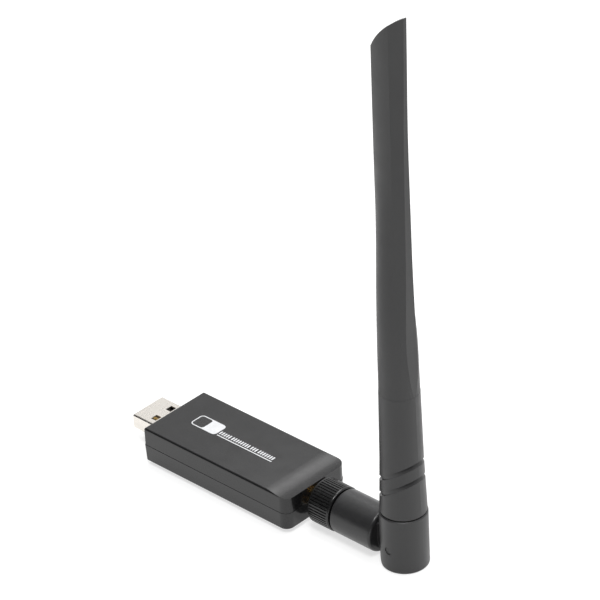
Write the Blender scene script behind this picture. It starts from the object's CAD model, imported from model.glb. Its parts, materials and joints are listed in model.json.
# A usb wifi adapter with a screw-on antenna: finishes for the machined and moulded parts,
# the printed marks on the cover, and a small studio round it.
import bpy
import bmesh
import json
import math
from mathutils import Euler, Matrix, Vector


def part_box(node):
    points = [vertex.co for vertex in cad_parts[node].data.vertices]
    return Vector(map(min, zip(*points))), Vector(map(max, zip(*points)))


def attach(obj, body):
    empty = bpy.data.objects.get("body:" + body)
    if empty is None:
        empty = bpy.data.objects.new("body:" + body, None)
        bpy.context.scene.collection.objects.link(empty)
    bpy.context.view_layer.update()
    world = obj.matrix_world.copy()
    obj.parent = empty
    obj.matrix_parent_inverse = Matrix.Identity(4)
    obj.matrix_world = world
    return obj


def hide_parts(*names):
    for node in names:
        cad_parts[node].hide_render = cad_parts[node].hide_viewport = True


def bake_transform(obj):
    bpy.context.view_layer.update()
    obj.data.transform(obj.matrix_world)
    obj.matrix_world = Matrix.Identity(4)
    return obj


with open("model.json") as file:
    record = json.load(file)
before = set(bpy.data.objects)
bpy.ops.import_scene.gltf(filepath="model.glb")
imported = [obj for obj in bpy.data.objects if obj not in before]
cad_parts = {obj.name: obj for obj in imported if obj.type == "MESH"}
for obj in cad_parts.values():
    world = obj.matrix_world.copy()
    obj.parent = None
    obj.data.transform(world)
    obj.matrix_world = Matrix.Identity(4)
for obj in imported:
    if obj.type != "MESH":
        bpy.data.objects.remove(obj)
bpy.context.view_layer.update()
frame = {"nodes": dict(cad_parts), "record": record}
nodes = frame["nodes"]
bpy.ops.object.select_all(action="DESELECT")
print("frame loaded:", len(nodes), "parts")

mm = 0.001
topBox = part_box("top_cover")
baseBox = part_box("antenna_base")
floorHeight = baseBox[0].z
hingeX = (baseBox[0].x + baseBox[1].x) / 2

camera = {
    "azimuth": 44.72,
    "elevation": 31.68,
    "roll": -3.05,
    "distance": 0.9,
    "lookAt": (0.05242, 0.0, 0.06206),
    "lens": 204.61,
}
studio = {
    "floorSize": 3.0,
    "floorTone": 0.44,
    "floorLift": 0.68,
    "skyLight": 0.85,
    "bandLow": 0.72,
    "bandHigh": 0.92,
    "bandTone": 0.035,
    "frontLow": -0.05,
    "frontHigh": 0.45,
}
# each box lamp: where it stands round the object, how far, its two sizes and its power
lamps = {
    "overheadBox": (190, 74, 1.0, 0.6, 0.5, 4.5),
    "glintBox": (44, 69, 1.0, 0.28, 0.28, 5),
    "crescentBox": (219, 39, 1.2, 0.3, 0.12, 0.27),
}
lampAim = (0.045, 0, 0.03)


def placeCamera():
    data = bpy.data.cameras.new("camera")
    holder = bpy.data.objects.new("camera", data)
    bpy.context.scene.collection.objects.link(holder)
    turn = math.radians(camera["azimuth"])
    rise = math.radians(camera["elevation"])
    back = Vector((math.sin(turn) * math.cos(rise), -math.cos(turn) * math.cos(rise), math.sin(rise)))
    holder.location = Vector(camera["lookAt"]) + back * camera["distance"]
    aim = (-back).to_track_quat("-Z", "Y")
    holder.rotation_mode = "QUATERNION"
    holder.rotation_quaternion = aim @ Euler((0, 0, math.radians(camera["roll"]))).to_quaternion()
    data.lens = camera["lens"]
    data.clip_end = 20
    bpy.context.scene.camera = holder


placeCamera()
bpy.context.scene.view_settings.view_transform = "Standard"


# ---- studio
def newMaterial(name):
    material = bpy.data.materials.new(name)
    material.use_nodes = True
    material.node_tree.nodes.clear()
    return material, material.node_tree


def addNode(tree, kind, place=(0, 0), **values):
    node = tree.nodes.new(kind)
    node.location = place
    for key, value in values.items():
        setattr(node, key, value)
    return node


def shownRays(tree, place):
    # 1 for camera, glossy and transmission rays, else 0
    path = addNode(tree, "ShaderNodeLightPath", place)
    first = addNode(tree, "ShaderNodeMath", (place[0] + 200, place[1]), operation="MAXIMUM")
    second = addNode(tree, "ShaderNodeMath", (place[0] + 400, place[1]), operation="MAXIMUM")
    tree.links.new(path.outputs["Is Camera Ray"], first.inputs[0])
    tree.links.new(path.outputs["Is Glossy Ray"], first.inputs[1])
    tree.links.new(first.outputs[0], second.inputs[0])
    tree.links.new(path.outputs["Is Transmission Ray"], second.inputs[1])
    return second.outputs[0]


def makeFloor():
    bpy.ops.mesh.primitive_plane_add(size=studio["floorSize"], location=(0, 0, 0))
    floor = bpy.context.object
    floor.name = "floor"
    for corner in floor.data.vertices:
        corner.co.z = floorHeight
    material, tree = newMaterial("floorPaper")
    paper = addNode(tree, "ShaderNodeBsdfDiffuse", (200, 100))
    paper.inputs["Color"].default_value = (studio["floorTone"],) * 3 + (1,)
    lift = addNode(tree, "ShaderNodeMath", (0, -150), operation="MULTIPLY")
    lift.inputs[1].default_value = studio["floorLift"]
    tree.links.new(shownRays(tree, (-700, -150)), lift.inputs[0])
    glow = addNode(tree, "ShaderNodeEmission", (200, -100))
    tree.links.new(lift.outputs[0], glow.inputs["Strength"])
    both = addNode(tree, "ShaderNodeAddShader", (400, 0))
    out = addNode(tree, "ShaderNodeOutputMaterial", (600, 0))
    tree.links.new(paper.outputs[0], both.inputs[0])
    tree.links.new(glow.outputs[0], both.inputs[1])
    tree.links.new(both.outputs[0], out.inputs["Surface"])
    floor.data.materials.append(material)
    floor.select_set(False)


def makeSky():
    # a white room, dark below the band on the side that the camera stands on
    world = bpy.data.worlds.new("studio")
    bpy.context.scene.world = world
    world.use_nodes = True
    tree = world.node_tree
    tree.nodes.clear()
    where = addNode(tree, "ShaderNodeTexCoord", (-1000, 0))
    split = addNode(tree, "ShaderNodeSeparateXYZ", (-800, 0))
    tree.links.new(where.outputs["Generated"], split.inputs[0])
    rise = addNode(tree, "ShaderNodeMapRange", (-600, 100), interpolation_type="SMOOTHSTEP")
    rise.inputs["From Min"].default_value = studio["bandLow"]
    rise.inputs["From Max"].default_value = studio["bandHigh"]
    rise.inputs["To Min"].default_value = studio["bandTone"]
    rise.inputs["To Max"].default_value = 1.0
    tree.links.new(split.outputs["Z"], rise.inputs["Value"])
    front = addNode(tree, "ShaderNodeMapRange", (-600, -200), interpolation_type="SMOOTHSTEP")
    front.inputs["From Min"].default_value = studio["frontLow"]
    front.inputs["From Max"].default_value = studio["frontHigh"]
    front.inputs["To Min"].default_value = 0.0
    front.inputs["To Max"].default_value = 1.0
    tree.links.new(split.outputs["Y"], front.inputs["Value"])
    either = addNode(tree, "ShaderNodeMath", (-400, 0), operation="MAXIMUM")
    tree.links.new(rise.outputs[0], either.inputs[0])
    tree.links.new(front.outputs[0], either.inputs[1])
    room = addNode(tree, "ShaderNodeMath", (-200, 0), operation="MULTIPLY")
    room.inputs[1].default_value = studio["skyLight"]
    tree.links.new(either.outputs[0], room.inputs[0])
    path = addNode(tree, "ShaderNodeLightPath", (-400, 300))
    seen = addNode(tree, "ShaderNodeMix", (0, 100), data_type="FLOAT")
    tree.links.new(path.outputs["Is Camera Ray"], seen.inputs["Factor"])
    tree.links.new(room.outputs[0], seen.inputs[2])
    seen.inputs[3].default_value = 1.0
    back = addNode(tree, "ShaderNodeBackground", (200, 0))
    back.inputs["Color"].default_value = (1, 1, 1, 1)
    tree.links.new(seen.outputs[0], back.inputs["Strength"])
    out = addNode(tree, "ShaderNodeOutputWorld", (400, 0))
    tree.links.new(back.outputs[0], out.inputs["Surface"])


def addLamp(name, turn, rise, distance, width, depth, power):
    # a soft box round the object, aimed at its middle
    data = bpy.data.lights.new(name, "AREA")
    data.shape = "RECTANGLE"
    data.size = width
    data.size_y = depth
    data.energy = power
    lamp = bpy.data.objects.new(name, data)
    bpy.context.scene.collection.objects.link(lamp)
    turn, rise = math.radians(turn), math.radians(rise)
    way = Vector((math.sin(turn) * math.cos(rise), -math.cos(turn) * math.cos(rise), math.sin(rise)))
    lamp.location = Vector(lampAim) + way * distance
    lamp.rotation_mode = "QUATERNION"
    lamp.rotation_quaternion = (-way).to_track_quat("-Z", "Y")


makeFloor()
makeSky()
for name, setting in lamps.items():
    addLamp(name, *setting)
print("studio set up")


# ---- shared effects, as node groups
def newGroup(name, inputs, outputs):
    group = bpy.data.node_groups.new(name, "ShaderNodeTree")
    for label, kind, value in inputs:
        socket = group.interface.new_socket(label, in_out="INPUT", socket_type=kind)
        if value is not None:
            socket.default_value = value
    for label, kind in outputs:
        group.interface.new_socket(label, in_out="OUTPUT", socket_type=kind)
    return group, addNode(group, "NodeGroupInput", (-900, 0)), addNode(group, "NodeGroupOutput", (700, 0))


def makeGrainGroup():
    # fine moulded grain: a height for the bump, and two masks that vary over the surface
    group, given, result = newGroup(
        "mouldGrain",
        [("Grain Size", "NodeSocketFloat", 0.2), ("Patch Size", "NodeSocketFloat", 6.0)],
        [("Height", "NodeSocketFloat"), ("Speckle", "NodeSocketFloat"), ("Patches", "NodeSocketFloat")],
    )
    where = addNode(group, "ShaderNodeTexCoord", (-900, 200))
    for row, (label, output) in enumerate((("Grain Size", "Height"), ("Patch Size", "Patches"))):
        perMetre = addNode(group, "ShaderNodeMath", (-650, -200 * row), operation="DIVIDE")
        perMetre.inputs[0].default_value = 1 / mm
        group.links.new(given.outputs[label], perMetre.inputs[1])
        noise = addNode(group, "ShaderNodeTexNoise", (-400, -200 * row))
        noise.inputs["Detail"].default_value = 3.0
        noise.inputs["Roughness"].default_value = 0.55
        group.links.new(where.outputs["Object"], noise.inputs["Vector"])
        group.links.new(perMetre.outputs[0], noise.inputs["Scale"])
        group.links.new(noise.outputs["Fac"], result.inputs[output])
        if row == 0:
            fleck = addNode(group, "ShaderNodeMapRange", (0, 200), interpolation_type="SMOOTHSTEP")
            fleck.inputs["From Min"].default_value = 0.55
            fleck.inputs["From Max"].default_value = 0.75
            group.links.new(noise.outputs["Fac"], fleck.inputs["Value"])
            group.links.new(fleck.outputs[0], result.inputs["Speckle"])
    return group


def makeEdgeGroup():
    # 1 along rounded and worn edges, 0 on flat ground, broken up by a patchy noise
    group, given, result = newGroup(
        "edgeWear",
        [("Radius", "NodeSocketFloat", 0.3), ("Breakup", "NodeSocketFloat", 0.5)],
        [("Edge", "NodeSocketFloat")],
    )
    metres = addNode(group, "ShaderNodeMath", (-650, 0), operation="MULTIPLY")
    metres.inputs[1].default_value = mm
    group.links.new(given.outputs["Radius"], metres.inputs[0])
    bevel = addNode(group, "ShaderNodeBevel", (-450, 0))
    bevel.samples = 4
    group.links.new(metres.outputs[0], bevel.inputs["Radius"])
    plain = addNode(group, "ShaderNodeNewGeometry", (-450, -200))
    dot = addNode(group, "ShaderNodeVectorMath", (-250, 0), operation="DOT_PRODUCT")
    group.links.new(bevel.outputs[0], dot.inputs[0])
    group.links.new(plain.outputs["Normal"], dot.inputs[1])
    edge = addNode(group, "ShaderNodeMapRange", (-50, 0), interpolation_type="SMOOTHSTEP")
    edge.inputs["From Min"].default_value = 0.995
    edge.inputs["From Max"].default_value = 0.90
    group.links.new(dot.outputs["Value"], edge.inputs["Value"])
    where = addNode(group, "ShaderNodeTexCoord", (-650, -400))
    noise = addNode(group, "ShaderNodeTexNoise", (-450, -400))
    noise.inputs["Scale"].default_value = 0.9 / mm
    group.links.new(where.outputs["Object"], noise.inputs["Vector"])
    worn = addNode(group, "ShaderNodeMapRange", (-50, -300))
    worn.inputs["From Min"].default_value = 0.35
    worn.inputs["From Max"].default_value = 0.65
    worn.inputs["To Max"].default_value = 1.0
    group.links.new(noise.outputs["Fac"], worn.inputs["Value"])
    keep = addNode(group, "ShaderNodeMath", (150, -300), operation="SUBTRACT")
    keep.inputs[0].default_value = 1.0
    group.links.new(given.outputs["Breakup"], keep.inputs[1])
    least = addNode(group, "ShaderNodeMath", (300, -200), operation="MAXIMUM")
    group.links.new(worn.outputs[0], least.inputs[0])
    group.links.new(keep.outputs[0], least.inputs[1])
    both = addNode(group, "ShaderNodeMath", (450, 0), operation="MULTIPLY")
    group.links.new(edge.outputs[0], both.inputs[0])
    group.links.new(least.outputs[0], both.inputs[1])
    group.links.new(both.outputs[0], result.inputs["Edge"])
    return group


def makeBrushGroup():
    # fine lines along one direction, with faint smears across them
    group, given, result = newGroup(
        "brushedMetal",
        [("Stretch", "NodeSocketVector", (0.03, 1.0, 1.0)), ("Line Size", "NodeSocketFloat", 0.08)],
        [("Height", "NodeSocketFloat"), ("Smear", "NodeSocketFloat")],
    )
    where = addNode(group, "ShaderNodeTexCoord", (-900, 200))
    pull = addNode(group, "ShaderNodeVectorMath", (-650, 100), operation="MULTIPLY")
    group.links.new(where.outputs["Object"], pull.inputs[0])
    group.links.new(given.outputs["Stretch"], pull.inputs[1])
    perMetre = addNode(group, "ShaderNodeMath", (-650, -100), operation="DIVIDE")
    perMetre.inputs[0].default_value = 1 / mm
    group.links.new(given.outputs["Line Size"], perMetre.inputs[1])
    lines = addNode(group, "ShaderNodeTexNoise", (-400, 0))
    lines.inputs["Detail"].default_value = 4.0
    group.links.new(pull.outputs[0], lines.inputs["Vector"])
    group.links.new(perMetre.outputs[0], lines.inputs["Scale"])
    smear = addNode(group, "ShaderNodeTexNoise", (-400, -300))
    smear.inputs["Scale"].default_value = 0.35 / mm
    smear.inputs["Detail"].default_value = 3.0
    group.links.new(where.outputs["Object"], smear.inputs["Vector"])
    group.links.new(lines.outputs["Fac"], result.inputs["Height"])
    group.links.new(smear.outputs["Fac"], result.inputs["Smear"])
    return group


grainGroup = makeGrainGroup()
edgeGroup = makeEdgeGroup()
brushGroup = makeBrushGroup()


def spread(tree, source, low, high, place):
    # turns a 0 to 1 mask into a value between low and high
    ranger = addNode(tree, "ShaderNodeMapRange", place)
    ranger.inputs["From Min"].default_value = 0.3
    ranger.inputs["From Max"].default_value = 0.7
    ranger.inputs["To Min"].default_value = low
    ranger.inputs["To Max"].default_value = high
    tree.links.new(source, ranger.inputs["Value"])
    return ranger.outputs[0]


def mixColour(tree, mask, first, second, place):
    mixer = addNode(tree, "ShaderNodeMix", place, data_type="RGBA")
    for index, colour in ((6, first), (7, second)):
        if isinstance(colour, tuple):
            mixer.inputs[index].default_value = colour + (1,)
        else:
            tree.links.new(colour, mixer.inputs[index])
    tree.links.new(mask, mixer.inputs["Factor"])
    return mixer.outputs[2]


plasticGloss = 0.5
plasticEdge = 0.25


def plastic(name, tone, paleTone, rough, grainSize, grainDepth, edgeTone, patchSize):
    # moulded plastic: mottled tone, grain in the bump and roughness, and polished edges
    material, tree = newMaterial(name)
    shader = addNode(tree, "ShaderNodeBsdfPrincipled", (400, 0))
    out = addNode(tree, "ShaderNodeOutputMaterial", (700, 0))
    tree.links.new(shader.outputs[0], out.inputs["Surface"])
    shader.inputs["Specular IOR Level"].default_value = plasticGloss
    grain = addNode(tree, "ShaderNodeGroup", (-700, 0), node_tree=grainGroup)
    grain.inputs["Grain Size"].default_value = grainSize
    grain.inputs["Patch Size"].default_value = patchSize
    edge = addNode(tree, "ShaderNodeGroup", (-700, -250), node_tree=edgeGroup)
    edge.inputs["Radius"].default_value = plasticEdge
    mottled = mixColour(tree, grain.outputs["Patches"], tone, paleTone, (-300, 200))
    coloured = mixColour(tree, edge.outputs["Edge"], mottled, edgeTone, (-50, 200))
    tree.links.new(coloured, shader.inputs["Base Color"])
    rougher = spread(tree, grain.outputs["Patches"], rough[0], rough[1], (-300, -50))
    tree.links.new(rougher, shader.inputs["Roughness"])
    bump = addNode(tree, "ShaderNodeBump", (100, -300))
    bump.inputs["Distance"].default_value = grainDepth * mm
    bump.inputs["Strength"].default_value = 1.0
    tree.links.new(grain.outputs["Height"], bump.inputs["Height"])
    tree.links.new(bump.outputs[0], shader.inputs["Normal"])
    return material


def metal(name, tone, smearTone, rough, lineSize, depth, stretch):
    # plated or bare metal with fine drawn lines and faint smears
    material, tree = newMaterial(name)
    shader = addNode(tree, "ShaderNodeBsdfPrincipled", (400, 0))
    out = addNode(tree, "ShaderNodeOutputMaterial", (700, 0))
    tree.links.new(shader.outputs[0], out.inputs["Surface"])
    shader.inputs["Metallic"].default_value = 1.0
    brush = addNode(tree, "ShaderNodeGroup", (-700, 0), node_tree=brushGroup)
    brush.inputs["Stretch"].default_value = stretch
    brush.inputs["Line Size"].default_value = lineSize
    coloured = mixColour(tree, brush.outputs["Smear"], tone, smearTone, (-300, 200))
    tree.links.new(coloured, shader.inputs["Base Color"])
    rougher = spread(tree, brush.outputs["Smear"], rough[0], rough[1], (-300, -50))
    tree.links.new(rougher, shader.inputs["Roughness"])
    bump = addNode(tree, "ShaderNodeBump", (100, -300))
    bump.inputs["Distance"].default_value = depth * mm
    tree.links.new(brush.outputs["Height"], bump.inputs["Height"])
    tree.links.new(bump.outputs[0], shader.inputs["Normal"])
    return material


# plastics by material slot: name, tone, pale tone, roughness from and to, grain size and depth,
# tone of the edges, patch size
plastics = {
    "casing_plastic": (
        "casingBlack", (0.012, 0.012, 0.0125), (0.018, 0.018, 0.0185),
        (0.13, 0.18), 0.12, 0.0012, (0.03, 0.03, 0.031), 5.0,
    ),
    "antenna_plastic": (
        "antennaBlack", (0.041, 0.041, 0.0415), (0.05, 0.05, 0.051),
        (0.38, 0.46), 0.14, 0.004, (0.05, 0.05, 0.051), 4.0,
    ),
    "barrel_plastic": (
        "barrelBlack", (0.024, 0.024, 0.0245), (0.036, 0.036, 0.037),
        (0.28, 0.38), 0.22, 0.012, (0.1, 0.1, 0.1), 2.0,
    ),
    "nut_plastic": (
        "nutBlack", (0.008, 0.008, 0.0085), (0.014, 0.014, 0.014),
        (0.2, 0.3), 0.2, 0.004, (0.035, 0.035, 0.035), 2.0,
    ),
    "insulator_plastic": (
        "insulatorBlack", (0.012, 0.012, 0.012), (0.02, 0.02, 0.02),
        (0.35, 0.5), 0.15, 0.003, (0.04, 0.04, 0.04), 2.0,
    ),
    "white_insulator": (
        "fluoropolymerWhite", (0.78, 0.78, 0.75), (0.86, 0.86, 0.84),
        (0.3, 0.45), 0.3, 0.004, (0.9, 0.9, 0.88), 2.0,
    ),
    "chip_resin": (
        "chipResin", (0.018, 0.018, 0.018), (0.03, 0.03, 0.03),
        (0.45, 0.6), 0.08, 0.006, (0.06, 0.06, 0.06), 1.5,
    ),
    "ferrite": (
        "ferriteGrey", (0.1, 0.1, 0.105), (0.15, 0.15, 0.155),
        (0.5, 0.65), 0.1, 0.01, (0.2, 0.2, 0.2), 1.0,
    ),
    "capacitor_ceramic": (
        "ceramicTan", (0.42, 0.3, 0.19), (0.5, 0.37, 0.25),
        (0.3, 0.45), 0.1, 0.004, (0.6, 0.5, 0.4), 1.0,
    ),
    "cable_jacket": (
        "cableBlack", (0.03, 0.03, 0.03), (0.045, 0.045, 0.045),
        (0.4, 0.5), 0.2, 0.004, (0.06, 0.06, 0.06), 2.0,
    ),
}
# metals by material slot: name, tone, smear tone, roughness from and to, line size, depth, and how
# the lines stretch along each axis
metals = {
    "nickel_plate": (
        "nickelPlate", (0.82, 0.78, 0.73), (0.7, 0.67, 0.62),
        (0.22, 0.34), 0.06, 0.0015, (0.03, 1.0, 1.0),
    ),
    "gold_plate": (
        "goldPlate", (0.5, 0.35, 0.13), (0.4, 0.27, 0.09),
        (0.22, 0.34), 0.06, 0.001, (0.03, 1.0, 1.0),
    ),
    "brass_tube": (
        "drawnBrass", (0.78, 0.57, 0.25), (0.66, 0.47, 0.2),
        (0.25, 0.4), 0.08, 0.002, (1.0, 1.0, 0.03),
    ),
    "tinned_steel": (
        "tinnedSteel", (0.7, 0.7, 0.69), (0.6, 0.6, 0.6),
        (0.28, 0.42), 0.1, 0.002, (0.03, 1.0, 1.0),
    ),
    "spring_steel": (
        "springSteel", (0.42, 0.42, 0.43), (0.34, 0.34, 0.35),
        (0.25, 0.4), 0.08, 0.002, (0.03, 1.0, 1.0),
    ),
}
finishes = {slot: plastic(*setting) for slot, setting in plastics.items()}
finishes.update((slot, metal(*setting)) for slot, setting in metals.items())


def boardFinish():
    # solder mask over copper: a grid of pale lines stands for tracks under the green
    material, tree = newMaterial("solderMask")
    shader = addNode(tree, "ShaderNodeBsdfPrincipled", (400, 0))
    out = addNode(tree, "ShaderNodeOutputMaterial", (700, 0))
    tree.links.new(shader.outputs[0], out.inputs["Surface"])
    where = addNode(tree, "ShaderNodeTexCoord", (-900, 0))
    tracks = addNode(tree, "ShaderNodeTexBrick", (-600, 0))
    tracks.inputs["Scale"].default_value = 0.25 / mm
    tracks.inputs["Mortar Size"].default_value = 0.03
    tracks.inputs["Color1"].default_value = (0.0, 0.0, 0.0, 1)
    tracks.inputs["Color2"].default_value = (0.12, 0.12, 0.12, 1)
    tracks.inputs["Mortar"].default_value = (1, 1, 1, 1)
    tree.links.new(where.outputs["Object"], tracks.inputs["Vector"])
    green = mixColour(tree, tracks.outputs["Color"], (0.012, 0.11, 0.04), (0.03, 0.2, 0.08), (-200, 200))
    tree.links.new(green, shader.inputs["Base Color"])
    grain = addNode(tree, "ShaderNodeGroup", (-600, -300), node_tree=grainGroup)
    rougher = spread(tree, grain.outputs["Patches"], 0.2, 0.35, (-200, -100))
    tree.links.new(rougher, shader.inputs["Roughness"])
    bump = addNode(tree, "ShaderNodeBump", (100, -300))
    bump.inputs["Distance"].default_value = 0.02 * mm
    tree.links.new(tracks.outputs["Fac"], bump.inputs["Height"])
    tree.links.new(bump.outputs[0], shader.inputs["Normal"])
    return material


finishes["board_laminate"] = boardFinish()
for part in frame["record"]["subparts"]:
    holder = nodes[part["node"]]
    holder.data.materials.clear()
    holder.data.materials.append(finishes[part["material_slot"]])


# ---- printed marks on the cover: a plain badge, a row of dashes and a line under it
marks = {
    "lift": 0.02,
    "thick": 0.02,
    "paleInk": (0.80, 0.81, 0.83),
    "darkInk": (0.012, 0.012, 0.0125),
    "badge": (8.4, 18.0, -2.0, 3.3),
    "badgeCorner": 1.2,
    "badgeRim": 0.35,
    "badgeSplit": 13.0,
    "dashes": (18.5, 39.4, -0.75, 0.75),
    "dashGroups": (5, 8, 3, 7),
    "dashWidth": 0.48,
    "dashGap": 0.39,
    "line": (18.5, 39.4, -1.55, -1.2),
    "dashCorner": 0.12,
}


def inkFinish(name, tone):
    # screen-printed ink: uneven cover and a grainy sheen
    material, tree = newMaterial(name)
    shader = addNode(tree, "ShaderNodeBsdfPrincipled", (400, 0))
    out = addNode(tree, "ShaderNodeOutputMaterial", (700, 0))
    tree.links.new(shader.outputs[0], out.inputs["Surface"])
    grain = addNode(tree, "ShaderNodeGroup", (-700, 0), node_tree=grainGroup)
    grain.inputs["Grain Size"].default_value = 0.1
    grain.inputs["Patch Size"].default_value = 1.0
    thin = tuple(part * 0.75 for part in tone)
    coloured = mixColour(tree, grain.outputs["Patches"], thin, tone, (-300, 200))
    tree.links.new(coloured, shader.inputs["Base Color"])
    rougher = spread(tree, grain.outputs["Height"], 0.22, 0.34, (-300, -50))
    tree.links.new(rougher, shader.inputs["Roughness"])
    return material


def layPlate(name, span, corner, level, ink):
    # a thin plate with rounded corners, a few hundredths above the cover
    xLow, xHigh, yLow, yHigh = (value * mm for value in span)
    base = topBox[1].z + (marks["lift"] + level * marks["thick"]) * mm
    bpy.ops.mesh.primitive_cube_add(size=1, location=(0, 0, 0))
    plate = bpy.context.object
    plate.name = name
    for point in plate.data.vertices:
        point.co.x = xLow if point.co.x < 0 else xHigh
        point.co.y = yLow if point.co.y < 0 else yHigh
        point.co.z = base if point.co.z < 0 else base + marks["thick"] * mm
    bpy.ops.object.mode_set(mode="EDIT")
    bpy.ops.mesh.select_mode(type="EDGE")
    bpy.ops.mesh.select_all(action="DESELECT")
    shape = bmesh.from_edit_mesh(plate.data)
    for edge in shape.edges:
        upright = abs(edge.verts[0].co.z - edge.verts[1].co.z) > 0.5 * marks["thick"] * mm
        edge.select_set(upright)
    bmesh.update_edit_mesh(plate.data)
    bpy.ops.mesh.bevel(offset=corner * mm, segments=5, affect="EDGES", clamp_overlap=True)
    bpy.ops.object.mode_set(mode="OBJECT")
    plate.data.materials.append(ink)
    plate.select_set(False)
    return plate


def joinPlates(name, plates):
    for plate in plates:
        plate.select_set(True)
    bpy.context.view_layer.objects.active = plates[0]
    bpy.ops.object.join()
    whole = bpy.context.object
    whole.name = name
    whole.select_set(False)
    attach(whole, "root")


def printMarks():
    pale = inkFinish("paleInk", marks["paleInk"])
    dark = inkFinish("darkInk", marks["darkInk"])
    rim = marks["badgeRim"]
    xLow, xHigh, yLow, yHigh = marks["badge"]
    plate = layPlate("badgePlate", marks["badge"], marks["badgeCorner"], 0, pale)
    window = (xLow + rim, marks["badgeSplit"], yLow + rim, yHigh - rim)
    joinPlates("badge", [plate, layPlate("badgeWindow", window, marks["badgeCorner"] - rim, 1, dark)])
    xLow, xHigh, yLow, yHigh = marks["dashes"]
    width, gap, groups = marks["dashWidth"], marks["dashGap"], marks["dashGroups"]
    groupGap = (xHigh - xLow - sum(groups) * (width + gap)) / (len(groups) - 1)
    dashes = [layPlate("underLine", marks["line"], marks["dashCorner"], 0, pale)]
    for count in groups:
        for step in range(count):
            dashes.append(layPlate("dash", (xLow, xLow + width, yLow, yHigh), marks["dashCorner"], 0, pale))
            xLow += width + gap
        xLow += groupGap
    joinPlates("dashRow", dashes)


printMarks()
print("marks printed")

# ---- the cable where it bends in the hinge
coax = {"radius": 0.9, "bendRadius": 3.0, "ringSteps": 64, "sides": 24}


def bendCable():
    # a quarter of a ring, from the barrel's axis up into the antenna
    radius = coax["bendRadius"] * mm
    centre = Vector((hingeX - radius, 0, radius))
    bpy.ops.mesh.primitive_torus_add(
        major_radius=radius, minor_radius=coax["radius"] * mm, major_segments=coax["ringSteps"],
        minor_segments=coax["sides"], location=centre, rotation=(math.radians(90), 0, 0))
    cable = bpy.context.object
    cable.name = "coaxBend"
    bpy.ops.object.transform_apply(location=True, rotation=True, scale=True)
    bpy.ops.object.mode_set(mode="EDIT")
    for way in ((-1, 0, 0), (0, 0, 1)):
        bpy.ops.mesh.select_all(action="SELECT")
        bpy.ops.mesh.bisect(plane_co=centre, plane_no=way, use_fill=True, clear_outer=True)
    bpy.ops.object.mode_set(mode="OBJECT")
    bpy.ops.object.shade_smooth_by_angle(angle=math.radians(40))
    cable.data.materials.append(finishes["cable_jacket"])
    cable.select_set(False)
    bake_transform(cable)
    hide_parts("coax_bend")


bendCable()
print("cable bent")
